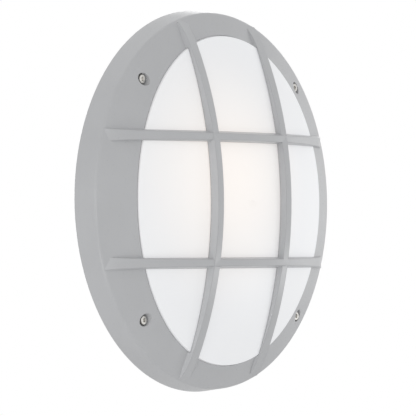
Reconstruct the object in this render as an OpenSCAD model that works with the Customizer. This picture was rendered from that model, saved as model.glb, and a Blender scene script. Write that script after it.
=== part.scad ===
// Round bulkhead wall light with a domed bar grille cast in one with its cover.
// Millimetres, +Z up. The wall is the plane y = 0 and the light faces -Y.

/* [Cover] */
// Diameter of the cover at its back rim
body_d = 300; // [280:1:330]
// Gap between the cover's back rim and the wall
rim_gap = 2; // [1:0.5:4]
// Depth of the cover's side band
band_h = 19.2; // [18:0.1:24]
// How far the side band draws in over its depth
band_draft = 2.5; // [0.5:0.1:3.5]
// Slope of the cover's front face in degrees
face_slope = 24.85; // [23:0.05:27]
// Wall thickness of the cover's side band
cover_t = 3; // [2.4:0.1:4]
// Size of the soft corner between side band and front face
crease_len = 1.6; // [1:0.1:4]
// Width of the face beside the opening
side_border = 31.9; // [28:0.1:36]
// Width of the face above and below the opening
end_border = 18.1; // [16:0.1:22]

/* [Grille bars] */
// Sideways distance of the upright bars from the middle
bar_x = 43.3; // [36:0.1:52]
// Vertical distance of the level bars from the middle
bar_y = 48.6; // [42:0.1:56]
// Radius of the bars' forward curve
bar_r = 289; // [270:0.5:310]
// Radius of the tighter curve where a bar runs out over the face
bar_end_r = 75; // [65:1:90]
// How far inside the crease the tighter curve starts
bar_end_len = 25.5; // [22:0.5:30]
// How far inside the crease a level bar's tighter curve starts
level_end_len = 30; // [26:0.5:34]
// Depth of an upright bar at mid length
bar_depth = 5.5; // [4.5:0.1:7]
// Gap between the bars and the diffuser
bar_gap = 0.4; // [0.2:0.1:1]
// Width of an upright bar at its foot
bar_foot_w = 10.2; // [9:0.1:12]
// Width of a level bar at its foot
level_foot_w = 8.6; // [8:0.1:11]
// How much a bar narrows on each side for each millimetre of its height
bar_draft = 0.32; // [0.1:0.01:0.36]

/* [Cover screws] */
// Distance of the cover screws from the crease, towards the middle
screw_inset = 14; // [13:0.1:16]
// Angle of the cover screws above and below the middle, in degrees
screw_angle = 43.5; // [41:0.1:46]
// Radius of the recess around a screw head, at its floor
recess_r = 4.2; // [4:0.1:5]
// How much the recess widens for each millimetre of its depth
recess_draft = 0.12; // [0:0.01:0.2]
// Depth of the recess below the sloped face
recess_depth = 6; // [5:0.1:8]
// Radius of a cover screw's head
head_r = 3.5; // [3:0.1:4]
// Height of a cover screw's head
head_h = 4; // [3:0.1:4.5]
// Radius of a cover screw's thread
thread_r = 2; // [1.5:0.1:2.2]

/* [Diffuser] */
// Radius of the diffuser's dome
lens_r = 338; // [325:1:350]
// How far the dome's edge stands over the face, above and below
lens_proud = 1.65; // [0.5:0.05:2]
// Gap between the dome's edge and the opening
lens_gap = 0.6; // [0.2:0.1:0.9]
// How far the diffuser's flange lies behind its dome
lens_step = 5; // [4.4:0.1:5.6]
// Thickness of the pad between flange and cover
lens_pad = 1; // [0.6:0.1:1.4]
// Wall thickness of the diffuser
diffuser_t = 3; // [2:0.1:3.4]
// Thickness of the diffuser's flange
flange_t = 2.5; // [2:0.1:3]
// How far the flange reaches past the opening
diffuser_lap = 6; // [5:0.5:7]

/* [Base] */
// Thickness of the base's floor
floor_t = 3.5; // [2.5:0.1:4.5]
// Width of the sealing wall
seal_w = 4; // [3:0.1:5]
// Least height of the cover gasket
gasket_t = 2.5; // [2:0.1:3.5]
// Radius of the screw bosses on the base
boss_r = 6.2; // [5:0.1:7]
// Diameter of the circle of wall-fixing holes
fixing_pcd = 180; // [170:1:190]
// Radius of a wall-fixing hole
fixing_r = 2.75; // [2.2:0.05:3.2]
// Distance of the cable entries from the sealing wall
entry_inset = 31.1; // [28:0.1:34]
// Radius of a cable entry
entry_r = 11; // [10:0.1:12]
// Radius of the cable hole in the grommet
cable_r = 4.5; // [3:0.1:6]

/* [Lamp and gear] */
// Radius of the reflector plate
reflector_r = 108; // [104:1:112]
// Height of the reflector's underside over the wall
reflector_z = 8; // [7:0.1:9]
// Thickness of the reflector plate
reflector_t = 1; // [0.6:0.1:1.4]
// Height of the lamp's axis over the wall
lamp_z = 31; // [30:0.5:32]
// Vertical place of the lamp's axis
lamp_y = 8; // [4:0.5:12]
// Largest radius of the bulb
bulb_r = 17.5; // [14:0.5:18]
// Length of the bulb
bulb_len = 72; // [60:1:76]
// Radius of the lamp's screw cap
cap_r = 6.9; // [6.5:0.1:7.5]
// Radius of the lampholder
holder_r = 14.5; // [13:0.1:15]
// Length of the lampholder
holder_len = 34; // [32:0.5:38]
// Radius of a lead
lead_r = 1.2; // [0.9:0.1:1.4]
// Distance between neighbouring poles of the terminal block
pole_pitch = 9; // [8:0.1:10]

/* [Hidden] */

eps = 0.01;
rim_r = body_d / 2;
crease_r = rim_r - band_draft;
crease_z = rim_gap + band_h;
function face_z(r) = crease_z + (crease_r - r) * tan(face_slope);
function sag(rad, d) = rad - sqrt(rad * rad - d * d);

open_w = 2 * (crease_r - side_border);
open_h = 2 * (crease_r - end_border);

// Highest points of the domes: diffuser front and back, flange front and back, cover inside
lens_apex = face_z(open_h / 2) + lens_proud + sag(lens_r, open_h / 2);
lens_in_apex = lens_apex - diffuser_t;
flange_apex = lens_apex - lens_step;
flange_in_apex = flange_apex - flange_t;
seat_apex = flange_apex + lens_pad;
pad_gap = 0.2;

reach = lens_apex + 2 * bar_depth;
screw_r = crease_r - screw_inset;
screw_x = screw_r * cos(screw_angle);
screw_y = screw_r * sin(screw_angle);
seat_z = face_z(screw_r) - recess_depth;
recess_h = 3 * recess_depth;
joint_z = seat_z - 4;
washer_t = 0.8;
washer_r = head_r + 0.4;
cover_boss_r = recess_r + 2.4;
notch_r = cover_boss_r + 0.4;
diffuser_r = open_h / 2 + diffuser_lap;
seal_ro = screw_r - notch_r - 1.4;
seal_ri = seal_ro - seal_w;
seal_z = flange_in_apex - sag(lens_r, seal_ro) - gasket_t;
base_r = rim_r - cover_t - 2.5;
groove_ri = seal_ro + 4;
groove_ro = groove_ri + 6;
groove_t = 1.5;
fixing_xy = fixing_pcd / 2 * sqrt(0.5);
screw_hole_z = floor_t + 2;
screw_len = seat_z + washer_t - screw_hole_z - 1.5;
entry_y = seal_ri - entry_inset;

bar_top = lens_apex - sag(lens_r, bar_x) + bar_gap + bar_depth;
bar_top_level = bar_top - sag(bar_r, bar_y) + sag(bar_r, bar_x);
bar_room = 2 * bar_depth;

m3_r = 1.5;
m3_hole_r = 1.7;
m3_head_r = 3;
m3_head_h = 2;
gear_z = reflector_z + reflector_t;
pillar_edge = 8.4;
pillar_up = 30;
pillar_x = sqrt(pow(reflector_r - pillar_edge, 2) - pow(pillar_up, 2));
pillar_pos = [[-pillar_x, pillar_up], [pillar_x, pillar_up], [0, 66]];
access_r = fixing_r + 5.5;
access_w = 2 * access_r - 3;
pillar_r = 4;
foot_t = 1.5;
foot_len = 24;
holder_x1 = 60;
holder_x0 = holder_x1 - holder_len;
cavity_x = holder_x1 - 8;
foot_screw_x = holder_x1 + foot_len - 8;
foot_screw_dy = 10;
bracket_w = 32;
holder_screw_dy = 9;
cavity_r = 9.5;
lead_end_z = lamp_z - cavity_r + 0.5;
lead_z = 11;
lead_in_x = holder_x1 - 4;
lead_dy = 4;
cap_end_x = cavity_x - 4;
cap_x0 = holder_x0 - 4;
cap_len = cap_end_x - cap_x0;

block_y = -58;
block_w = 3 * pole_pitch + 4;
block_d = 14;
block_z = floor_t + 1.5;
block_h = lead_z - block_z + 9;
insert_w = pole_pitch - 3;
insert_top = lead_z + 3;
ear_x = -block_w / 2 - 4;
earth_pos = [-38, -40];
earth_z = 9;
lug_t = 0.8;
earth_r = 2;
earth_washer_t = 0.8;
pole_dy = 3.6;
pole_screw_r = 2;

// Puts a piece drawn with its front along +Z onto the wall, front along -Y
module on_wall() {
    rotate([90, 0, 0]) children();
}

// Repeats a piece at the four cover screws
module at_cover_screws() {
    for (sx = [-1, 1], sy = [-1, 1])
        translate([sx * screw_x, sy * screw_y, 0]) children();
}

// Repeats a piece at the four wall-fixing holes
module at_fixings() {
    for (sx = [-1, 1], sy = [-1, 1])
        translate([sx * fixing_xy, sy * fixing_xy, 0]) children();
}

// Plane ring between two radii
module ring(ro, ri, h) {
    difference() {
        cylinder(h = h, r = ro, $fn = 72);
        translate([0, 0, -1]) cylinder(h = h + 2, r = ri, $fn = 72);
    }
}

// Oval of the opening, grown by a border
module oval(grow) {
    polygon([for (i = [0 : 119]) [(open_w / 2 + grow) * cos(3 * i), (open_h / 2 + grow) * sin(3 * i)]]);
}

// Half disc under a dome of the diffuser's radius
module dome_disc(apex, facets = 180) {
    intersection() {
        translate([0, apex - lens_r]) circle(r = lens_r, $fn = facets);
        translate([0, -1]) square([rim_r + 5, apex + 10]);
    }
}

// Solid under a dome of the diffuser's radius
module dome(apex, facets = 180) {
    rotate_extrude($fn = 96) dome_disc(apex, facets);
}

// Upright prism of the opening, grown by a border
module oval_prism(grow) {
    translate([0, 0, -1]) linear_extrude(height = reach + 1) oval(grow);
}

// Space inside the cover, behind its face and within its side band
module cover_space() {
    rotate_extrude($fn = 96)
        intersection() {
            dome_disc(seat_apex);
            polygon([[0, -1], [rim_r - cover_t, -1], [rim_r - cover_t, rim_gap],
                     [crease_r - cover_t, crease_z], [crease_r - cover_t, reach], [0, reach]]);
        }
}

// Soft corner of the side band as a run of points
function soft(p0, pc, p1, n) =
    [for (i = [0 : n]) let (t = i / n) (1 - t) * (1 - t) * p0 + 2 * t * (1 - t) * pc + t * t * p1];

// Full outside of the cover's ring before its opening is cut
module cover_blank() {
    c = [crease_r, crease_z];
    face_dir = [-cos(face_slope), sin(face_slope)];
    band_dir = [band_draft, -band_h] / norm([band_draft, band_h]);
    inner_r = open_w / 2 - 8;
    rotate_extrude($fn = 96)
        polygon(concat([[inner_r, rim_gap], [rim_r - 0.8, rim_gap], [rim_r, rim_gap + 0.8]],
                       soft(c + crease_len * band_dir, c, c + crease_len * face_dir, 4),
                       [[inner_r, face_z(inner_r)]]));
}

// Section under a bar's front at a radius from its bending axis
module bar_front(rad) {
    translate([rad - bar_room, -bar_foot_w]) square([bar_room, 2 * bar_foot_w]);
}

// Both drafted flanks of a bar along the diffuser's dome, at a distance from its middle
module bar_flanks(off, foot) {
    rad = sqrt(lens_r * lens_r - off * off);
    turn = asin(crease_r / rad) + 1;
    low = foot / 2 + bar_room * bar_draft;
    high = foot / 2 - (bar_depth + 3) * bar_draft;
    translate([0, 0, lens_apex - lens_r]) rotate([0, -90, 0]) rotate([0, 0, -turn])
        rotate_extrude(angle = 2 * turn, $fn = 180)
            polygon([[rad - bar_room, -low], [rad + bar_depth + 3, -high], [rad + bar_depth + 3, high],
                     [rad - bar_room, low]]);
}

// One upright bar at the middle, its front at a height over the wall, its ends bent over a length
module bar(top, off, foot, end_len) {
    turn = asin((crease_r - end_len) / bar_r);
    end_c = (bar_r - bar_end_r) * sin(turn);
    end_turn = asin((crease_r - end_c) / bar_end_r) - turn;
    intersection() {
        translate([0, 0, top - bar_r]) rotate([0, -90, 0]) {
            rotate([0, 0, -turn])
                rotate_extrude(angle = 2 * turn, $fn = 180) bar_front(bar_r);
            for (m = [0, 1]) mirror([0, m, 0]) rotate([0, 0, turn])
                translate([bar_r - bar_end_r, 0, 0])
                    rotate_extrude(angle = end_turn, $fn = 120) bar_front(bar_end_r);
        }
        bar_flanks(off, foot);
    }
}

// All four bars, kept within the front face and clear of the diffuser
module bars() {
    difference() {
        intersection() {
            union() {
                for (s = [-1, 1]) translate([s * bar_x, 0, 0])
                    bar(bar_top, bar_x, bar_foot_w, bar_end_len);
                for (s = [-1, 1]) translate([0, s * bar_y, 0]) rotate([0, 0, 90])
                    bar(bar_top_level, bar_y, level_foot_w, level_end_len);
            }
            translate([0, 0, crease_z - 6]) cylinder(h = reach, r = crease_r - 0.8, $fn = 96);
        }
        intersection() {
            dome(lens_apex + bar_gap);
            oval_prism(0);
        }
    }
}

// Die-cast cover: side band, sloped face, oval opening and the bars of the grille in one
module bezel() {
    color([0.68, 0.69, 0.69]) on_wall() difference() {
        union() {
            difference() {
                union() {
                    difference() {
                        cover_blank();
                        oval_prism(0);
                    }
                    bars();
                }
                cover_space();
            }
            intersection() {
                at_cover_screws() translate([0, 0, joint_z])
                    cylinder(h = reach, r = cover_boss_r, $fn = 32);
                cover_blank();
            }
        }
        at_cover_screws() {
            translate([0, 0, seat_z])
                cylinder(h = recess_h, r1 = recess_r, r2 = recess_r + recess_h * recess_draft, $fn = 32);
            translate([0, 0, joint_z - 1]) cylinder(h = reach, r = thread_r + 0.25, $fn = 24);
        }
    }
}

// Opal dome that stands up through the opening, with a flange held between seal and cover
module diffuser() {
    color([0.95, 0.94, 0.92]) on_wall() difference() {
        union() {
            intersection() {
                dome(lens_apex);
                oval_prism(-lens_gap);
            }
            intersection() {
                dome(flange_apex);
                cylinder(h = reach, r = diffuser_r, $fn = 96);
            }
        }
        intersection() {
            dome(lens_in_apex);
            oval_prism(-lens_gap - diffuser_t);
        }
        dome(flange_in_apex);
        at_cover_screws() cylinder(h = reach, r = notch_r, $fn = 32);
    }
}

// Soft pad between the diffuser's flange and the edge of the opening
module lens_gasket() {
    color([0.85, 0.85, 0.84]) on_wall() intersection() {
        difference() {
            dome(seat_apex - pad_gap);
            dome(flange_apex);
        }
        difference() {
            oval_prism(3.8);
            oval_prism(1);
        }
    }
}

// Seal between the base and the diffuser
module cover_gasket() {
    color([0.2, 0.2, 0.21]) on_wall()
        rotate_extrude($fn = 96)
            intersection() {
                translate([seal_ri, seal_z]) square([seal_w, 3 * gasket_t]);
                dome_disc(flange_in_apex, 600);
            }
}

// Seal let into the base's back
module wall_gasket() {
    color([0.2, 0.2, 0.21]) on_wall() ring(groove_ro, groove_ri, groove_t);
}

// Die-cast pan that is fixed to the wall
module base() {
    color([0.62, 0.63, 0.63]) on_wall() difference() {
        union() {
            cylinder(h = floor_t, r = base_r, $fn = 96);
            ring(seal_ro, seal_ri, seal_z);
            ring(base_r, base_r - 3, floor_t + 6);
            at_cover_screws() cylinder(h = joint_z, r = boss_r, $fn = 32);
            for (sx = [-1, 1], sy = [-1, 1])
                rotate([0, 0, atan2(sy * screw_y, sx * screw_x)])
                    translate([seal_ro - 1, -2, 0]) cube([screw_r - seal_ro, 4, joint_z - 2]);
            at_fixings() cylinder(h = floor_t + 2.5, r = fixing_r + 4, $fn = 32);
            for (p = pillar_pos) translate([p[0], p[1], 0])
                cylinder(h = reflector_z, r = pillar_r, $fn = 24);
            for (s = [-1, 1]) translate([foot_screw_x, lamp_y + s * foot_screw_dy, 0])
                cylinder(h = reflector_z, r = pillar_r, $fn = 24);
            for (s = [-1, 1]) translate([s * pole_pitch, block_y, 0])
                cylinder(h = block_z, r = 3.5, $fn = 24);
            translate([ear_x, block_y, 0]) cylinder(h = block_z, r = 3.8, $fn = 24);
            translate([earth_pos[0], earth_pos[1], 0]) cylinder(h = earth_z, r = 5, $fn = 24);
        }
        translate([0, 0, -1]) ring(groove_ro, groove_ri, groove_t + 1);
        at_fixings() translate([0, 0, -1]) cylinder(h = reach, r = fixing_r, $fn = 24);
        at_cover_screws() translate([0, 0, screw_hole_z])
            cylinder(h = reach, r = thread_r + 0.02, $fn = 24);
        for (s = [-1, 1]) translate([0, s * entry_y, -1]) cylinder(h = reach, r = entry_r, $fn = 48);
        for (p = pillar_pos) translate([p[0], p[1], floor_t]) cylinder(h = reach, r = m3_r, $fn = 24);
        for (s = [-1, 1]) translate([foot_screw_x, lamp_y + s * foot_screw_dy, floor_t])
            cylinder(h = reach, r = m3_r, $fn = 24);
        translate([ear_x, block_y, 1]) cylinder(h = reach, r = m3_r, $fn = 24);
        translate([earth_pos[0], earth_pos[1], 2]) cylinder(h = reach, r = earth_r, $fn = 24);
    }
}

// Cap screw with a six-sided socket, standing on its head's underside
module cap_screw(hr, hh, sr, len, key) {
    difference() {
        union() {
            cylinder(h = hh, r = hr, $fn = 32);
            translate([0, 0, -len]) cylinder(h = len + eps, r = sr, $fn = 24);
        }
        translate([0, 0, hh * 0.45]) cylinder(h = hh, r = key, $fn = 6);
    }
}

// Pan screw with a straight slot, standing on its head's underside
module slot_screw(hr, hh, sr, len) {
    difference() {
        union() {
            cylinder(h = hh, r = hr, $fn = 32);
            translate([0, 0, -len]) cylinder(h = len + eps, r = sr, $fn = 24);
        }
        translate([-hr - 1, -0.4, hh * 0.5]) cube([2 * hr + 2, 0.8, hh]);
    }
}

module cover_screws() {
    color([0.72, 0.72, 0.7]) on_wall() at_cover_screws()
        translate([0, 0, seat_z + washer_t]) cap_screw(head_r, head_h, thread_r, screw_len, 1.7);
}

module screw_washers() {
    color([0.6, 0.6, 0.6]) on_wall() at_cover_screws()
        translate([0, 0, seat_z]) ring(washer_r, thread_r + 0.2, washer_t);
}

// White plate behind the lamp, open over the terminals
module reflector() {
    color([0.93, 0.93, 0.93]) on_wall() difference() {
        translate([0, 0, reflector_z]) cylinder(h = reflector_t, r = reflector_r, $fn = 96);
        translate([-52, -reflector_r - 1, 0]) cube([104, reflector_r - 27, reach]);
        at_fixings() cylinder(h = reach, r = access_r, $fn = 32);
        for (a = [45 : 90 : 315]) rotate([0, 0, a]) translate([fixing_pcd / 2, -access_w / 2, 0])
            cube([reflector_r, access_w, reach]);
        for (p = pillar_pos) translate([p[0], p[1], 0]) cylinder(h = reach, r = m3_hole_r, $fn = 24);
        for (s = [-1, 1]) translate([foot_screw_x, lamp_y + s * foot_screw_dy, 0])
            cylinder(h = reach, r = m3_hole_r, $fn = 24);
    }
}

module reflector_screws() {
    color([0.75, 0.75, 0.73]) on_wall() for (p = pillar_pos)
        translate([p[0], p[1], gear_z]) slot_screw(m3_head_r, m3_head_h, m3_r, gear_z - floor_t - 0.5);
}

// Bent steel angle that carries the lampholder
module holder_bracket() {
    color([0.78, 0.78, 0.76]) on_wall() difference() {
        union() {
            translate([holder_x1, lamp_y - bracket_w / 2, gear_z]) cube([foot_len, bracket_w, foot_t]);
            translate([holder_x1, lamp_y - 12, gear_z]) cube([foot_t, 24, lamp_z - gear_z + 11]);
        }
        for (s = [-1, 1]) translate([foot_screw_x, lamp_y + s * foot_screw_dy, 0])
            cylinder(h = reach, r = m3_hole_r, $fn = 24);
        for (s = [-1, 1]) translate([holder_x1 - 1, lamp_y + s * holder_screw_dy, lamp_z])
            rotate([0, 90, 0]) cylinder(h = holder_len, r = m3_hole_r, $fn = 24);
    }
}

module bracket_screws() {
    color([0.75, 0.75, 0.73]) on_wall() for (s = [-1, 1])
        translate([foot_screw_x, lamp_y + s * foot_screw_dy, gear_z + foot_t])
            slot_screw(m3_head_r, m3_head_h, m3_r, gear_z + foot_t - floor_t - 0.5);
}

// Places a piece drawn along +Z onto the lamp's axis, pointing along +X
module on_lamp(x) {
    translate([x, lamp_y, lamp_z]) rotate([0, 90, 0]) children();
}

// Porcelain lampholder with a deep cavity and two lead holes
module holder_body() {
    color([0.94, 0.93, 0.9]) on_wall() difference() {
        on_lamp(holder_x0) cylinder(h = holder_len, r = holder_r, $fn = 64);
        on_lamp(holder_x0 - 1) cylinder(h = cavity_x - holder_x0 + 1, r = cavity_r, $fn = 48);
        for (s = [-1, 1]) translate([lead_in_x, lamp_y + s * lead_dy, 0])
            cylinder(h = lead_end_z, r = lead_r, $fn = 24);
        for (s = [-1, 1]) translate([holder_x1 - 5, lamp_y + s * holder_screw_dy, lamp_z])
            rotate([0, 90, 0]) cylinder(h = holder_len, r = m3_r, $fn = 24);
    }
}

// Threaded shell of the lampholder
module holder_shell() {
    color([0.8, 0.66, 0.36]) on_wall() on_lamp(holder_x0 + 3) difference() {
        union() {
            cylinder(h = cavity_x - holder_x0 - 3, r = cap_r + 0.65, $fn = 48);
            translate([0, 0, cavity_x - holder_x0 - 4]) cylinder(h = 1, r = cavity_r, $fn = 48);
        }
        translate([0, 0, -1]) cylinder(h = cavity_x - holder_x0 - 3, r = cap_r + 0.05, $fn = 48);
        cylinder(h = holder_len, r = 3.2, $fn = 32);
    }
}

module holder_contact() {
    color([0.8, 0.66, 0.36]) on_wall() on_lamp(cap_end_x + 0.5)
        cylinder(h = cavity_x - cap_end_x - 0.5, r = 2.2, $fn = 24);
}

module holder_screws() {
    color([0.75, 0.75, 0.73]) on_wall() for (s = [-1, 1])
        translate([holder_x1 + foot_t, lamp_y + s * holder_screw_dy, lamp_z]) rotate([0, 90, 0])
            slot_screw(m3_head_r - 0.2, m3_head_h, m3_r, foot_t + 4.5);
}

// Screw cap of the lamp with its end contact
module lamp_cap() {
    color([0.78, 0.78, 0.76]) on_wall() on_lamp(cap_x0) {
        rotate_extrude($fn = 48)
            polygon([[0, 0], [cap_r, 0], [cap_r, cap_len - 2], [4, cap_len], [2.4, cap_len],
                     [2.4, cap_len + 0.5], [0, cap_len + 0.5]]);
    }
}

// Frosted bulb, tapered to the cap and rounded at its tip
module lamp_bulb() {
    shape = [[0, 0.46], [0.04, 0.47], [0.12, 0.6], [0.2, 0.75], [0.28, 0.87], [0.36, 0.95], [0.45, 1],
             [0.55, 0.98], [0.65, 0.9], [0.74, 0.78], [0.82, 0.63], [0.9, 0.44], [0.96, 0.24], [1, 0]];
    color([1, 0.96, 0.88]) on_wall() on_lamp(cap_x0) mirror([0, 0, 1])
        rotate_extrude($fn = 48)
            polygon(concat([[0, 0]], [for (p = shape) [p[1] * bulb_r, p[0] * bulb_len]]));
}

// Three-pole terminal block with a fixing ear
module terminal_block() {
    color([0.9, 0.9, 0.88]) on_wall() difference() {
        union() {
            translate([-block_w / 2, block_y - block_d / 2, block_z]) cube([block_w, block_d, block_h]);
            translate([ear_x - 4, block_y - 4, block_z]) cube([8 + eps, 8, 4]);
        }
        for (i = [-1, 0, 1]) translate([i * pole_pitch, block_y, 0]) {
            translate([-insert_w / 2, -block_d, lead_z - 3]) cube([insert_w, 2 * block_d, 6]);
            for (s = [-1, 1]) translate([0, s * pole_dy, lead_z])
                cylinder(h = reach, r = pole_screw_r + 0.2, $fn = 24);
        }
        translate([ear_x, block_y, 0]) cylinder(h = reach, r = m3_hole_r, $fn = 24);
    }
}

// Brass blocks the leads go into
module terminal_inserts() {
    color([0.8, 0.66, 0.36]) on_wall() for (i = [-1, 0, 1])
        translate([i * pole_pitch, block_y, lead_z]) difference() {
            translate([-insert_w / 2, -block_d / 2, -3]) cube([insert_w, block_d, 6]);
            rotate([90, 0, 0]) cylinder(h = 2 * block_d, r = lead_r, center = true, $fn = 24);
        }
}

module terminal_screws() {
    color([0.75, 0.75, 0.73]) on_wall() for (i = [-1, 0, 1], s = [-1, 1])
        translate([i * pole_pitch, block_y + s * pole_dy, insert_top]) difference() {
            cylinder(h = 4.5, r = pole_screw_r, $fn = 24);
            translate([-3, -0.35, 3.4]) cube([6, 0.7, 3]);
        }
}

module block_screw() {
    color([0.75, 0.75, 0.73]) on_wall()
        translate([ear_x, block_y, block_z + 4])
            slot_screw(m3_head_r, m3_head_h, m3_r, block_z + 2.5);
}

// Ring lug with its crimped sleeve
module earth_lug() {
    color([0.75, 0.74, 0.7]) on_wall() difference() {
        union() {
            translate([earth_pos[0], earth_pos[1], earth_z]) cylinder(h = lug_t, r = 4.5, $fn = 32);
            translate([earth_pos[0], earth_pos[1] - 2, earth_z]) cube([8, 4, lug_t]);
            translate([earth_pos[0] + 6.2, earth_pos[1], lead_z])
                rotate([0, 90, 0]) cylinder(h = 5, r = 2.1, $fn = 24);
        }
        translate([earth_pos[0], earth_pos[1], 0]) cylinder(h = reach, r = earth_r + 0.1, $fn = 24);
        translate([earth_pos[0] + 6, earth_pos[1], lead_z])
            rotate([0, 90, 0]) cylinder(h = 10, r = lead_r, $fn = 24);
    }
}

module earth_washer() {
    color([0.7, 0.7, 0.68]) on_wall()
        translate([earth_pos[0], earth_pos[1], earth_z + lug_t]) ring(4, earth_r + 0.1, earth_washer_t);
}

module earth_screw() {
    color([0.8, 0.66, 0.36]) on_wall()
        translate([earth_pos[0], earth_pos[1], earth_z + lug_t + earth_washer_t])
            slot_screw(3.8, 2.4, earth_r, earth_z - 0.4);
}

// Straight run of a lead along +Y
module lead_up(x, y0, y1) {
    translate([x, y0, lead_z]) rotate([-90, 0, 0]) cylinder(h = y1 - y0, r = lead_r, $fn = 24);
}

// Straight run of a lead along +X
module lead_across(x0, x1, y) {
    translate([x0, y, lead_z]) rotate([0, 90, 0]) cylinder(h = x1 - x0, r = lead_r, $fn = 24);
}

// Quarter bend of a lead between two angles about a centre
module lead_bend(c, r, from) {
    translate([c[0], c[1], lead_z]) rotate([0, 0, from])
        rotate_extrude(angle = 90, $fn = 64) translate([r, 0]) circle(r = lead_r, $fn = 24);
}

// Lead from a pole of the block to the underside of the lampholder
module lamp_lead(x, y) {
    bend = 8;
    rise = 6;
    lead_up(x, block_y + 3, y - bend);
    lead_bend([x + bend, y - bend], bend, 90);
    lead_across(x + bend, lead_in_x - rise, y);
    translate([lead_in_x - rise, y, lead_z + rise]) rotate([90, 0, 0]) rotate([0, 0, -90])
        rotate_extrude(angle = 90, $fn = 64) translate([rise, 0]) circle(r = lead_r, $fn = 24);
    translate([lead_in_x, y, lead_z + rise]) cylinder(h = lead_end_z - lead_z - rise, r = lead_r, $fn = 24);
}

module live_lead() {
    color([0.45, 0.28, 0.16]) on_wall() lamp_lead(pole_pitch, lamp_y - lead_dy);
}

module neutral_lead() {
    color([0.2, 0.35, 0.7]) on_wall() lamp_lead(0, lamp_y + lead_dy);
}

module earth_lead() {
    bend = 6;
    color([0.35, 0.6, 0.25]) on_wall() {
        lead_up(-pole_pitch, block_y + 3, earth_pos[1] - bend);
        lead_bend([-pole_pitch - bend, earth_pos[1] - bend], bend, 0);
        lead_across(earth_pos[0] + 6.2, -pole_pitch - bend, earth_pos[1]);
    }
}

// Rubber bush of the cable entry
module cable_grommet() {
    color([0.15, 0.15, 0.16]) on_wall() translate([0, -entry_y, 0]) difference() {
        union() {
            cylinder(h = floor_t + 2, r = entry_r, $fn = 48);
            translate([0, 0, floor_t]) cylinder(h = 2, r = entry_r + 3, $fn = 48);
        }
        translate([0, 0, -1]) cylinder(h = reach, r = cable_r, $fn = 32);
    }
}

// Closed bush in the spare entry
module entry_plug() {
    color([0.15, 0.15, 0.16]) on_wall() translate([0, entry_y, 0]) difference() {
        union() {
            cylinder(h = floor_t + 2, r = entry_r, $fn = 48);
            translate([0, 0, floor_t]) cylinder(h = 2, r = entry_r + 3, $fn = 48);
        }
        translate([0, 0, -1]) cylinder(h = floor_t, r = entry_r - 3, $fn = 48);
    }
}

base();
wall_gasket();
cover_gasket();
diffuser();
lens_gasket();
bezel();
cover_screws();
screw_washers();
reflector();
reflector_screws();
holder_bracket();
bracket_screws();
holder_body();
holder_shell();
holder_contact();
holder_screws();
lamp_cap();
lamp_bulb();
terminal_block();
terminal_inserts();
terminal_screws();
block_screw();
earth_screw();
earth_washer();
earth_lug();
earth_lead();
live_lead();
neutral_lead();
cable_grommet();
entry_plug();
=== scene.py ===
"""Round bulkhead wall light: finishes, cover screws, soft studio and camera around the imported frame."""
import logging
import math
from dataclasses import dataclass, field
from enum import Enum
from typing import Dict, List, Optional, Sequence, Tuple, Union

import bmesh
import bpy
from mathutils import Matrix, Vector


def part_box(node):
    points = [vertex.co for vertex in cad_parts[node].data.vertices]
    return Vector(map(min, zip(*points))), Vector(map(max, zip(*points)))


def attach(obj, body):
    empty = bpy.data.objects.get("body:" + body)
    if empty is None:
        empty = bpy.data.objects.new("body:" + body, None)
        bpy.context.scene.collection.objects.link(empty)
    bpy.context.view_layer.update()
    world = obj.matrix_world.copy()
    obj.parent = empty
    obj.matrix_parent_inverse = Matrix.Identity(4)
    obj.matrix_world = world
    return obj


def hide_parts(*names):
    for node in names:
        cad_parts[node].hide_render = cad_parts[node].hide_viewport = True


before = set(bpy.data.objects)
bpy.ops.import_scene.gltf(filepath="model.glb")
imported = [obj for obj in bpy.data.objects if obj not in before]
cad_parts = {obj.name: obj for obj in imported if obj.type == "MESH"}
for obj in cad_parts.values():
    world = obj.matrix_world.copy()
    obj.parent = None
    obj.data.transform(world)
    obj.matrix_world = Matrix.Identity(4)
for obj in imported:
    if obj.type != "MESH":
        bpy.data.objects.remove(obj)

LOG = logging.getLogger("bulkhead_light")
MM = 0.001
BODY = "root"
PHOTO_PX = 416.0
SENSOR_MM = 36.0
NOISE_LOW = 0.3
NOISE_HIGH = 0.7
BEVEL_SAMPLES = 8

Colour = Tuple[float, float, float]
Point = Tuple[float, float, float]


class Finish(Enum):
    """Named finishes of the light's pieces."""

    COVER = "cover_coat"
    BASE = "base_coat"
    OPAL = "opal_dome"
    PALE_RUBBER = "pale_rubber"
    BLACK_RUBBER = "black_rubber"
    STEEL = "plated_steel"
    WHITE_SHEET = "white_sheet"
    PORCELAIN = "porcelain"
    BRASS = "brass"
    LAMP_CAP = "lamp_cap"
    FROSTED = "frosted_bulb"
    WHITE_PLASTIC = "white_plastic"
    GREEN_LEAD = "green_lead"
    BROWN_LEAD = "brown_lead"
    BLUE_LEAD = "blue_lead"


def from_screen(red: int, green: int, blue: int) -> Colour:
    """Turns a screen colour of 0 to 255 into linear light.

    Args:
        red: Red part.
        green: Green part.
        blue: Blue part.

    Returns:
        The three linear values.
    """
    def lin(value: int) -> float:
        """Gives one linear value.

        Args:
            value: Screen value, 0 to 255.

        Returns:
            The linear value, 0 to 1.
        """
        part = value / 255.0
        return part / 12.92 if part <= 0.04045 else ((part + 0.055) / 1.055) ** 2.4
    return lin(red), lin(green), lin(blue)


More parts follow.
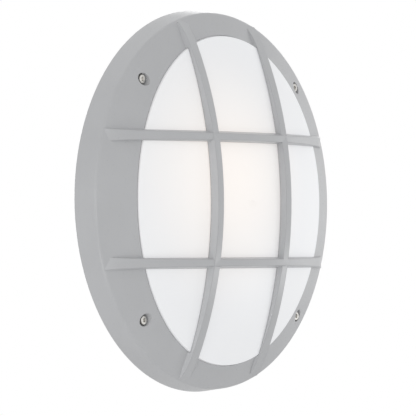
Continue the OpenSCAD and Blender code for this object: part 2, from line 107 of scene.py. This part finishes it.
class NodeSheet:
    """A material's node tree with short calls to add and join nodes."""

    def __init__(self, name: str) -> None:
        """Starts an empty material.

        Args:
            name: The material's name.
        """
        self.material = bpy.data.materials.new(name)
        self.material.use_nodes = True
        self.tree = self.material.node_tree
        self.tree.nodes.clear()
        self.output = self.add("ShaderNodeOutputMaterial")
        self.shader = self.add("ShaderNodeBsdfPrincipled")
        self.join(self.shader, "BSDF", self.output, "Surface")
        self.coords = self.add("ShaderNodeTexCoord")

    def add(self, kind: str, **settings: object) -> bpy.types.Node:
        """Adds a node.

        Args:
            kind: Blender's name of the node type.
            **settings: Properties to set on the node.

        Returns:
            The new node.
        """
        node = self.tree.nodes.new(kind)
        for key, value in settings.items():
            setattr(node, key, value)
        return node

    def join(self, source: bpy.types.Node, out: str, target: bpy.types.Node, into: str) -> None:
        """Joins an output socket to an input socket.

        Args:
            source: Node that gives the value.
            out: Its output socket.
            target: Node that takes the value.
            into: Its input socket.
        """
        self.tree.links.new(source.outputs[out], target.inputs[into])

    def noise(self, scale: float, detail: float = 2.0,
              stretch: Point = (1.0, 1.0, 1.0)) -> bpy.types.Node:
        """Adds noise on Object coordinates.

        Args:
            scale: Cells per metre.
            detail: Octaves of finer noise.
            stretch: Scale of the coordinates along each axis.

        Returns:
            The noise node.
        """
        spread = self.add("ShaderNodeMapping")
        spread.inputs["Scale"].default_value = stretch
        self.join(self.coords, "Object", spread, "Vector")
        grain = self.add("ShaderNodeTexNoise")
        grain.inputs["Scale"].default_value = scale
        grain.inputs["Detail"].default_value = detail
        self.join(spread, "Vector", grain, "Vector")
        return grain

    def spread_value(self, source: bpy.types.Node, out: str, low: float,
                     high: float) -> bpy.types.Node:
        """Maps the usual span of a noise onto a range.

        Args:
            source: Node that gives the value.
            out: Its output socket.
            low: Value at the noise's low end.
            high: Value at the noise's high end.

        Returns:
            The range node, with its output Result.
        """
        span = self.add("ShaderNodeMapRange")
        span.inputs["From Min"].default_value = NOISE_LOW
        span.inputs["From Max"].default_value = NOISE_HIGH
        span.inputs["To Min"].default_value = low
        span.inputs["To Max"].default_value = high
        self.join(source, out, span, "Value")
        return span

    def tint(self, factor: bpy.types.Node, out: str, dark: Colour, light: Colour) -> None:
        """Adds a two-colour ramp and joins it to the shader's colour.

        Args:
            factor: Node that gives the ramp's place.
            out: Its output socket.
            dark: Colour at the low end.
            light: Colour at the high end.
        """
        ramp = self.add("ShaderNodeValToRGB")
        ends = ((NOISE_LOW, dark), (NOISE_HIGH, light))
        for element, (position, colour) in zip(ramp.color_ramp.elements, ends):
            element.position = position
            element.color = (*colour, 1.0)
        self.join(factor, out, ramp, "Fac")
        self.join(ramp, "Color", self.shader, "Base Color")

    def bump(self, source: bpy.types.Node, out: str, strength: float, depth: float,
             edge: float = 0.0) -> None:
        """Adds relief to the shader's normal.

        Args:
            source: Node that gives the height.
            out: Its output socket.
            strength: Share of the relief, 0 to 1.
            depth: Height of the relief in metres.
            edge: Radius in metres over which sharp edges look rounded.
        """
        relief = self.add("ShaderNodeBump")
        relief.inputs["Strength"].default_value = strength
        relief.inputs["Distance"].default_value = depth
        self.join(source, out, relief, "Height")
        if edge > 0.0:
            soft = self.add("ShaderNodeBevel", samples=BEVEL_SAMPLES)
            soft.inputs["Radius"].default_value = edge
            self.join(soft, "Normal", relief, "Normal")
        self.join(relief, "Normal", self.shader, "Normal")


@dataclass(frozen=True)
class Coat:
    """A finish with fine relief and a slight change of tone and of gloss over the surface.

    Attributes:
        colour: Linear colour of the finish.
        vary: Share by which the tone changes either way.
        rough: Lowest and highest roughness.
        metallic: 1 for bare metal, 0 for paint, plastic and rubber.
        tone_scale: Cells per metre of the change of tone.
        tone_detail: Octaves of the change of tone.
        grain_scale: Cells per metre of the fine relief.
        grain_depth: Height of the fine relief in metres.
        grain_strength: Share of the relief, 0 to 1.
        stretch: Stretch of the grain along each axis, for drawn or brushed metal.
        coat: Weight of a clear coat.
        edge: Radius in metres over which sharp edges look rounded.
    """

    colour: Colour
    vary: float = 0.03
    rough: Tuple[float, float] = (0.45, 0.55)
    metallic: float = 0.0
    tone_scale: float = 60.0
    tone_detail: float = 3.0
    grain_scale: float = 1200.0
    grain_depth: float = 0.0002
    grain_strength: float = 0.2
    stretch: Point = (1.0, 1.0, 1.0)
    coat: float = 0.0
    edge: float = 0.0

    def build(self, name: str) -> bpy.types.Material:
        """Makes the material.

        Args:
            name: The material's name.

        Returns:
            The finished material.
        """
        sheet = NodeSheet(name)
        tone = sheet.noise(self.tone_scale, self.tone_detail, self.stretch)
        dark = tuple(c * (1.0 - self.vary) for c in self.colour)
        light = tuple(min(1.0, c * (1.0 + self.vary)) for c in self.colour)
        sheet.tint(tone, "Fac", dark, light)
        grain = sheet.noise(self.grain_scale, stretch=self.stretch)
        gloss = sheet.spread_value(grain, "Fac", *self.rough)
        sheet.join(gloss, "Result", sheet.shader, "Roughness")
        sheet.bump(grain, "Fac", self.grain_strength, self.grain_depth, self.edge)
        sheet.shader.inputs["Metallic"].default_value = self.metallic
        sheet.shader.inputs["Coat Weight"].default_value = self.coat
        return sheet.material


@dataclass(frozen=True)
class OpalDome:
    """Opal plastic with a painted glow that stands in for the lamp inside shining through it, warmest in
    a painted pool of light in front of the lamp.

    Attributes:
        colour: Linear colour of the plastic.
        glow: Linear colour of the painted glow away from the lamp.
        warm: Linear colour of the painted glow in front of the lamp.
        strength: Strength of the painted glow.
        centre: Middle of the painted pool of warm lamp light in metres.
        reach: Radius of the painted pool of warm lamp light in metres.
        rough: Roughness of the plastic.
        cloud_scale: Cells per metre of the slight change of tone.
        cloud_dark: Tone of the darkest places as a share of the colour.
        wave_scale: Cells per metre of the moulding's waves.
        wave_depth: Height of the waves in metres.
        wave_strength: Share of the waves, 0 to 1.
    """

    colour: Colour
    glow: Colour
    warm: Colour
    strength: float
    centre: Point
    reach: float
    rough: float = 0.42
    cloud_scale: float = 25.0
    cloud_dark: float = 0.99
    wave_scale: float = 90.0
    wave_depth: float = 0.0002
    wave_strength: float = 0.1

    def build(self, name: str) -> bpy.types.Material:
        """Makes the material.

        Args:
            name: The material's name.

        Returns:
            The finished material.
        """
        sheet = NodeSheet(name)
        cloud = sheet.noise(self.cloud_scale)
        dark = tuple(c * self.cloud_dark for c in self.colour)
        sheet.tint(cloud, "Fac", dark, self.colour)
        place = sheet.add("ShaderNodeMapping")
        place.inputs["Location"].default_value = tuple(-c / self.reach for c in self.centre)
        place.inputs["Scale"].default_value = (1.0 / self.reach,) * 3
        sheet.join(sheet.coords, "Object", place, "Vector")
        ball = sheet.add("ShaderNodeTexGradient", gradient_type="SPHERICAL")
        sheet.join(place, "Vector", ball, "Vector")
        ramp = sheet.add("ShaderNodeValToRGB")
        ramp.color_ramp.interpolation = "EASE"
        for element, colour in zip(ramp.color_ramp.elements, (self.glow, self.warm)):
            element.color = (*colour, 1.0)
        sheet.join(ball, "Color", ramp, "Fac")
        # Painted light: the emission stands in for the unlit lamp inside shining through the dome,
        # warmest in a painted pool in front of the lamp.
        sheet.join(ramp, "Color", sheet.shader, "Emission Color")
        sheet.shader.inputs["Emission Strength"].default_value = self.strength
        wave = sheet.noise(self.wave_scale, 1.0)
        sheet.bump(wave, "Fac", self.wave_strength, self.wave_depth)
        sheet.shader.inputs["Roughness"].default_value = self.rough
        return sheet.material


FINISHES: Dict[Finish, Union[Coat, OpalDome]] = {
    Finish.COVER: Coat(from_screen(184, 185, 187), vary=0.02, rough=(0.27, 0.37), tone_scale=30.0,
                       grain_scale=900.0, grain_depth=0.00025, grain_strength=0.22, edge=0.0012),
    Finish.BASE: Coat(from_screen(168, 170, 168), vary=0.04, rough=(0.5, 0.65), grain_scale=700.0,
                      grain_depth=0.0003, grain_strength=0.25),
    # The opal dome's glow and warm patch are painted light standing in for the lamp inside.
    Finish.OPAL: OpalDome(colour=from_screen(222, 224, 226), glow=(0.545, 0.535, 0.54),
                          warm=(1.0, 0.85, 0.72), strength=0.378,
                          centre=(-0.026, -0.055, 0.018), reach=0.115),
    Finish.PALE_RUBBER: Coat(from_screen(222, 222, 220), rough=(0.7, 0.8), grain_scale=1600.0),
    Finish.BLACK_RUBBER: Coat(from_screen(46, 46, 48), vary=0.12, rough=(0.6, 0.75),
                              grain_scale=1500.0, grain_depth=0.0003, grain_strength=0.3),
    Finish.STEEL: Coat(from_screen(206, 204, 200), vary=0.06, rough=(0.3, 0.42), metallic=1.0,
                       tone_scale=500.0, grain_scale=2500.0, grain_depth=0.0001),
    Finish.WHITE_SHEET: Coat(from_screen(240, 240, 238), vary=0.01, rough=(0.25, 0.32),
                             grain_scale=500.0, grain_depth=0.0001, grain_strength=0.1, coat=0.3),
    Finish.PORCELAIN: Coat(from_screen(242, 239, 232), vary=0.015, rough=(0.12, 0.2),
                           grain_scale=300.0, grain_strength=0.1, coat=0.6),
    Finish.BRASS: Coat(from_screen(206, 176, 110), vary=0.06, rough=(0.22, 0.35), metallic=1.0,
                       tone_scale=300.0, grain_scale=2500.0, grain_depth=0.0001,
                       stretch=(1.0, 1.0, 6.0)),
    Finish.LAMP_CAP: Coat(from_screen(200, 200, 198), vary=0.04, rough=(0.3, 0.42), metallic=1.0,
                          tone_scale=300.0, grain_scale=1500.0, stretch=(6.0, 1.0, 1.0)),
    Finish.FROSTED: Coat(from_screen(252, 244, 228), vary=0.01, rough=(0.4, 0.5),
                         grain_scale=2500.0, grain_depth=0.0001),
    Finish.WHITE_PLASTIC: Coat(from_screen(232, 232, 228), vary=0.015, grain_scale=1500.0),
    Finish.GREEN_LEAD: Coat(from_screen(110, 160, 60), vary=0.08, rough=(0.35, 0.45)),
    Finish.BROWN_LEAD: Coat(from_screen(110, 70, 46), vary=0.06, rough=(0.35, 0.45)),
    Finish.BLUE_LEAD: Coat(from_screen(60, 96, 170), vary=0.06, rough=(0.35, 0.45)),
}

NODE_FINISH: Dict[str, Finish] = {
    "bezel": Finish.COVER,
    "base": Finish.BASE,
    "diffuser": Finish.OPAL,
    "lens_gasket": Finish.PALE_RUBBER,
    "cover_gasket": Finish.BLACK_RUBBER,
    "wall_gasket": Finish.BLACK_RUBBER,
    "cable_grommet": Finish.BLACK_RUBBER,
    "entry_plug": Finish.BLACK_RUBBER,
    "cover_screws": Finish.STEEL,
    "screw_washers": Finish.STEEL,
    "reflector": Finish.WHITE_SHEET,
    "reflector_screws": Finish.STEEL,
    "holder_bracket": Finish.STEEL,
    "bracket_screws": Finish.STEEL,
    "holder_body": Finish.PORCELAIN,
    "holder_shell": Finish.BRASS,
    "holder_contact": Finish.BRASS,
    "holder_screws": Finish.STEEL,
    "lamp_cap": Finish.LAMP_CAP,
    "lamp_bulb": Finish.FROSTED,
    "terminal_block": Finish.WHITE_PLASTIC,
    "terminal_inserts": Finish.BRASS,
    "terminal_screws": Finish.STEEL,
    "block_screw": Finish.STEEL,
    "earth_screw": Finish.BRASS,
    "earth_washer": Finish.STEEL,
    "earth_lug": Finish.STEEL,
    "earth_lead": Finish.GREEN_LEAD,
    "live_lead": Finish.BROWN_LEAD,
    "neutral_lead": Finish.BLUE_LEAD,
}


@dataclass
class FinishStore:
    """Makes each finish once and hands it out.

    Attributes:
        made: The materials made so far.
    """

    made: Dict[Finish, bpy.types.Material] = field(default_factory=dict)

    def get(self, finish: Finish) -> bpy.types.Material:
        """Gives the material of a finish, made on first use.

        Args:
            finish: The finish.

        Returns:
            Its material.
        """
        if finish not in self.made:
            self.made[finish] = FINISHES[finish].build(finish.value)
        return self.made[finish]

    def dress_nodes(self) -> None:
        """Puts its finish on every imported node."""
        for name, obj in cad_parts.items():
            obj.data.materials.clear()
            obj.data.materials.append(self.get(NODE_FINISH[name]))
            LOG.info("%s dressed in %s", name, NODE_FINISH[name].value)


def add_object(name: str, mesh_data: bmesh.types.BMesh, material: bpy.types.Material,
               smooth_deg: Optional[float] = 35.0) -> bpy.types.Object:
    """Turns a bmesh into an object at the origin.

    Args:
        name: The piece's name.
        mesh_data: The bmesh, freed here.
        material: Its finish.
        smooth_deg: Angle below which edges shade smooth, or None for flat shading.

    Returns:
        The new object.
    """
    mesh = bpy.data.meshes.new(name)
    mesh_data.to_mesh(mesh)
    mesh_data.free()
    mesh.materials.append(material)
    obj = bpy.data.objects.new(name, mesh)
    bpy.context.scene.collection.objects.link(obj)
    if smooth_deg is not None:
        mesh.shade_smooth()
        mesh.set_sharp_from_angle(angle=math.radians(smooth_deg))
    return obj


def grow(bm: bmesh.types.BMesh, loop: Sequence[bmesh.types.BMEdge]
         ) -> Tuple[List[bmesh.types.BMVert], List[bmesh.types.BMEdge]]:
    """Extrudes a closed loop of edges into a new loop at the same place.

    Args:
        bm: The bmesh that holds the loop.
        loop: The loop's edges.

    Returns:
        The new loop's vertices and edges.
    """
    geom = bmesh.ops.extrude_edge_only(bm, edges=loop)["geom"]
    verts = [item for item in geom if isinstance(item, bmesh.types.BMVert)]
    edges = [item for item in geom if isinstance(item, bmesh.types.BMEdge)
             and all(v in verts for v in item.verts)]
    return verts, edges


def order_key(item: Union[bmesh.types.BMEdge, bmesh.types.BMFace]) -> float:
    """Gives a number that puts edges or faces in the order of their vertices.

    Args:
        item: Edge or face with fewer than a hundred vertices.

    Returns:
        The number to sort by.
    """
    first, second = sorted(v.index for v in item.verts)[:2]
    return first * 1.0e8 + second * 1.0e2 + len(item.verts)


@dataclass
class CoverScrews:
    """Four socket-head screws with knurled heads, in the recesses of the cover.

    Attributes:
        head_r: Radius of a head.
        head_h: Height of a head.
        top_bevel: Bevel round the top of a head.
        foot_h: Height of the bevel round the underside of a head.
        foot_in: Width of the bevel round the underside of a head.
        knurl: Depth of the ridges round a head.
        ridges: Ridges round a head.
        socket_r: Corner radius of the six-sided socket.
        socket_depth: Depth of the socket.
        flare_depth: Depth of the socket's widened mouth.
        flare: Width of the mouth as a share of the socket's.
        shank_r: Radius of the shank.
        turn_x: Turn in radians that a screw gets from its side, left or right.
        turn_z: Turn in radians that a screw gets from its row, lower or upper.
    """

    head_r: float = 3.5 * MM
    head_h: float = 4.0 * MM
    top_bevel: float = 0.35 * MM
    foot_h: float = 0.3 * MM
    foot_in: float = 0.25 * MM
    knurl: float = 0.16 * MM
    ridges: int = 36
    socket_r: float = 1.73 * MM
    socket_depth: float = 1.25 * MM
    flare_depth: float = 0.15 * MM
    flare: float = 1.1
    shank_r: float = 1.95 * MM
    turn_x: float = 0.3
    turn_z: float = 0.5

    def screw(self, length: float) -> bmesh.types.BMesh:
        """Builds one screw as a closed shell, with the top of its head at z 0 and its shank below.

        Args:
            length: Length from the top of the head to the end of the shank.

        Returns:
            The screw's bmesh.
        """
        bm = bmesh.new()
        bmesh.ops.create_circle(bm, cap_ends=True, radius=self.socket_r, segments=6)
        bmesh.ops.subdivide_edges(bm, edges=bm.edges[:], cuts=self.ridges // 3 - 1)
        floor_face = bm.faces[:][0]
        bmesh.ops.translate(bm, verts=bm.verts[:], vec=(0, 0, -self.socket_depth))
        rim, rim_edges = grow(bm, bm.edges[:])
        bmesh.ops.translate(bm, verts=rim, vec=(0, 0, self.socket_depth - self.flare_depth))
        mouth, mouth_edges = grow(bm, rim_edges)
        for v in mouth:
            v.co = Vector((v.co.x * self.flare, v.co.y * self.flare, 0.0))
        side = bmesh.ops.create_circle(bm, cap_ends=False, radius=self.head_r - self.top_bevel,
                                       segments=2 * self.ridges)
        loop = list(dict.fromkeys(e for v in side["verts"] for e in v.link_edges))
        bmesh.ops.bridge_loops(bm, edges=mouth_edges + loop)
        steps = (
            (self.head_r, -self.top_bevel, True),
            (self.head_r, -self.head_h + self.foot_h, True),
            (self.head_r - self.foot_in, -self.head_h, False),
            (self.shank_r, -self.head_h, False),
            (self.shank_r, -length, False),
        )
        for radius, z, ridged in steps:
            verts, loop = grow(bm, loop)
            for v in verts:
                turn = round(math.atan2(v.co.y, v.co.x) / (math.pi / self.ridges))
                reach = radius - (self.knurl if ridged and turn % 2 else 0.0)
                flat = Vector((v.co.x, v.co.y)).normalized() * reach
                v.co = Vector((flat.x, flat.y, z))
        bmesh.ops.contextual_create(bm, geom=loop)
        bmesh.ops.recalc_face_normals(bm, faces=bm.faces[:])
        if floor_face.normal.z < 0:
            bmesh.ops.reverse_faces(bm, faces=bm.faces[:])
        bm.verts.index_update()
        bm.edges.sort(key=order_key)
        bm.faces.sort(key=order_key)
        return bm

    def build(self, store: FinishStore) -> bpy.types.Object:
        """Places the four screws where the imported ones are.

        Args:
            store: The finishes.

        Returns:
            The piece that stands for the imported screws.
        """
        low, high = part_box("cover_screws")
        reach_x = high[0] - self.head_r
        reach_z = high[2] - self.head_r
        top_y = low[1]
        upright = Matrix.Rotation(math.radians(90.0), 4, "X")
        bm = bmesh.new()
        for sx in (-1, 1):
            for sz in (-1, 1):
                one = self.screw(high[1] - top_y)
                place = Matrix.Translation((sx * reach_x, top_y, sz * reach_z))
                turn = Matrix.Rotation(self.turn_x * sx + self.turn_z * sz, 4, "Z")
                bmesh.ops.transform(one, matrix=place @ upright @ turn, verts=one.verts[:])
                part = bpy.data.meshes.new("screw_part")
                one.to_mesh(part)
                one.free()
                bm.from_mesh(part)
                bpy.data.meshes.remove(part)
        obj = add_object("socket_screws", bm, store.get(Finish.STEEL))
        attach(obj, BODY)
        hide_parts("cover_screws")
        LOG.info("four socket screws at %.4f, %.4f", reach_x, reach_z)
        return obj


@dataclass(frozen=True)
class Lamp:
    """Square soft lamp that looks at the light.

    Attributes:
        name: The lamp's name.
        place: Its place in metres.
        size: Its side in metres.
        power: Its power in watts.
        lights_floor: Whether the floor takes its light too.
    """

    name: str
    place: Point
    size: float
    power: float
    lights_floor: bool = True

    def build(self, unlit: bpy.types.Collection) -> bpy.types.Object:
        """Makes the lamp.

        Args:
            unlit: Collection that leaves the floor out of a lamp's light.

        Returns:
            The lamp.
        """
        data = bpy.data.lights.new(self.name, "AREA")
        data.shape = "SQUARE"
        data.size = self.size
        data.energy = self.power
        obj = bpy.data.objects.new(self.name, data)
        obj.location = self.place
        obj.visible_camera = False
        obj.rotation_mode = "QUATERNION"
        obj.rotation_quaternion = (-Vector(self.place)).to_track_quat("-Z", "Y")
        bpy.context.scene.collection.objects.link(obj)
        if not self.lights_floor:
            obj.light_linking.receiver_collection = unlit
        return obj


@dataclass
class Studio:
    """White room with soft light from all sides and a plain pale floor.

    Attributes:
        floor_z: Height of the floor.
        floor_size: Side of the floor.
        floor_coat: Finish of the floor.
        world_level: Strength of the light from all round.
        white_level: Strength of the white that is seen behind and mirrored.
        lamps: The soft lamps.
    """

    floor_z: float = -0.33
    floor_size: float = 4.0
    floor_coat: Coat = Coat(from_screen(240, 240, 240), vary=0.005, rough=(0.8, 0.9),
                            grain_scale=300.0)
    world_level: float = 0.74
    white_level: float = 1.0
    lamps: Tuple[Lamp, ...] = (
        Lamp("left", (-2.6, -0.3, -0.1), 1.0, 3.6),
        Lamp("low_left", (-0.5, -0.05, -0.3), 0.12, 0.27, lights_floor=False),
        Lamp("front_left", (-1.7, -2.0, -0.1), 0.25, 4.8),
        Lamp("right", (2.6, -0.5, 0.0), 0.8, 1.8),
        Lamp("low_right", (0.8, -0.55, -0.27), 0.12, 0.5, lights_floor=False),
        Lamp("above_back", (0.0, 1.4, 2.2), 1.6, 2.6),
        Lamp("back_right", (1.9, 1.8, 0.3), 1.6, 13.0),
    )

    def floor(self) -> bpy.types.Object:
        """Makes the floor.

        Returns:
            The floor.
        """
        bm = bmesh.new()
        bmesh.ops.create_grid(bm, x_segments=1, y_segments=1, size=self.floor_size / 2,
                              matrix=Matrix.Translation((0, 0, self.floor_z)))
        floor = add_object("floor", bm, self.floor_coat.build("pale_floor"), None)
        return floor

    def world(self) -> None:
        """Makes the light from all round, and the white that is seen behind and mirrored."""
        world = bpy.data.worlds.new("studio")
        bpy.context.scene.world = world
        world.use_nodes = True
        nodes, links = world.node_tree.nodes, world.node_tree.links
        nodes.clear()
        out = nodes.new("ShaderNodeOutputWorld")
        soft = nodes.new("ShaderNodeBackground")
        white = nodes.new("ShaderNodeBackground")
        for node, level in ((soft, self.world_level), (white, self.white_level)):
            node.inputs["Strength"].default_value = level
            node.inputs["Color"].default_value = (1.0, 1.0, 1.0, 1.0)
        path = nodes.new("ShaderNodeLightPath")
        first = nodes.new("ShaderNodeMath")
        second = nodes.new("ShaderNodeMath")
        for node in (first, second):
            node.operation = "MAXIMUM"
        mix = nodes.new("ShaderNodeMixShader")
        links.new(path.outputs["Is Camera Ray"], first.inputs[0])
        links.new(path.outputs["Is Glossy Ray"], first.inputs[1])
        links.new(first.outputs["Value"], second.inputs[0])
        links.new(path.outputs["Is Transmission Ray"], second.inputs[1])
        links.new(second.outputs["Value"], mix.inputs["Fac"])
        links.new(soft.outputs["Background"], mix.inputs[1])
        links.new(white.outputs["Background"], mix.inputs[2])
        links.new(mix.outputs["Shader"], out.inputs["Surface"])

    def build(self) -> None:
        """Makes the floor, the light all round and the lamps."""
        floor = self.floor()
        self.world()
        unlit = bpy.data.collections.new("floor_left_out")
        unlit.objects.link(floor)
        unlit.collection_objects[0].light_linking.link_state = "EXCLUDE"
        for lamp in self.lamps:
            lamp.build(unlit)
        bpy.context.scene.view_settings.view_transform = "Standard"
        LOG.info("studio ready with %d lamps", len(self.lamps))


@dataclass
class PhotoCamera:
    """Camera at the photograph's viewing angle.

    Attributes:
        target: Point that the fitted view turns about.
        yaw: Turn to the left of straight on, in degrees.
        rise: Height above the horizon, in degrees.
        roll: Turn about the view axis, in degrees.
        distance: Distance from the target in metres.
        px_per_m: Pixels a metre at the target.
        target_px: Where the target lies in the picture.
        clip: Nearest and furthest distance seen, in metres.
    """

    target: Point = (0.0, -0.002, 0.0)
    yaw: float = 51.637
    rise: float = -0.972
    roll: float = 0.379
    distance: float = 2.7
    px_per_m: float = 1268.4
    target_px: Tuple[float, float] = (197.2, 201.2)
    clip: Tuple[float, float] = (0.1, 100.0)

    def build(self) -> bpy.types.Object:
        """Makes the camera and sets it as the scene's.

        Returns:
            The camera.
        """
        a, e, r = (math.radians(v) for v in (self.yaw, self.rise, self.roll))
        back = Vector((-math.sin(a) * math.cos(e), -math.cos(a) * math.cos(e), math.sin(e)))
        right = Vector((math.cos(a), -math.sin(a), 0.0))
        up = back.cross(right)
        right_r = right * math.cos(r) - up * math.sin(r)
        up_r = right * math.sin(r) + up * math.cos(r)
        data = bpy.data.cameras.new("photo_camera")
        data.sensor_fit = "AUTO"
        data.sensor_width = SENSOR_MM
        data.lens = self.px_per_m * self.distance * SENSOR_MM / PHOTO_PX
        data.shift_x = (PHOTO_PX / 2 - self.target_px[0]) / PHOTO_PX
        data.shift_y = (self.target_px[1] - PHOTO_PX / 2) / PHOTO_PX
        data.clip_start, data.clip_end = self.clip
        obj = bpy.data.objects.new("photo_camera", data)
        place = Vector(self.target) + back * self.distance
        columns = Matrix((right_r, up_r, back)).transposed().to_4x4()
        obj.matrix_world = Matrix.Translation(place) @ columns
        bpy.context.scene.collection.objects.link(obj)
        bpy.context.scene.camera = obj
        LOG.info("camera lens %.1f mm", data.lens)
        return obj


def main() -> None:
    """Dresses the light, adds its fine pieces, and sets up studio and camera."""
    logging.basicConfig(level=logging.INFO, format="%(name)s: %(message)s")
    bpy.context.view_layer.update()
    PhotoCamera().build()
    store = FinishStore()
    store.dress_nodes()
    CoverScrews().build(store)
    Studio().build()


if __name__ == "__main__":
    main()
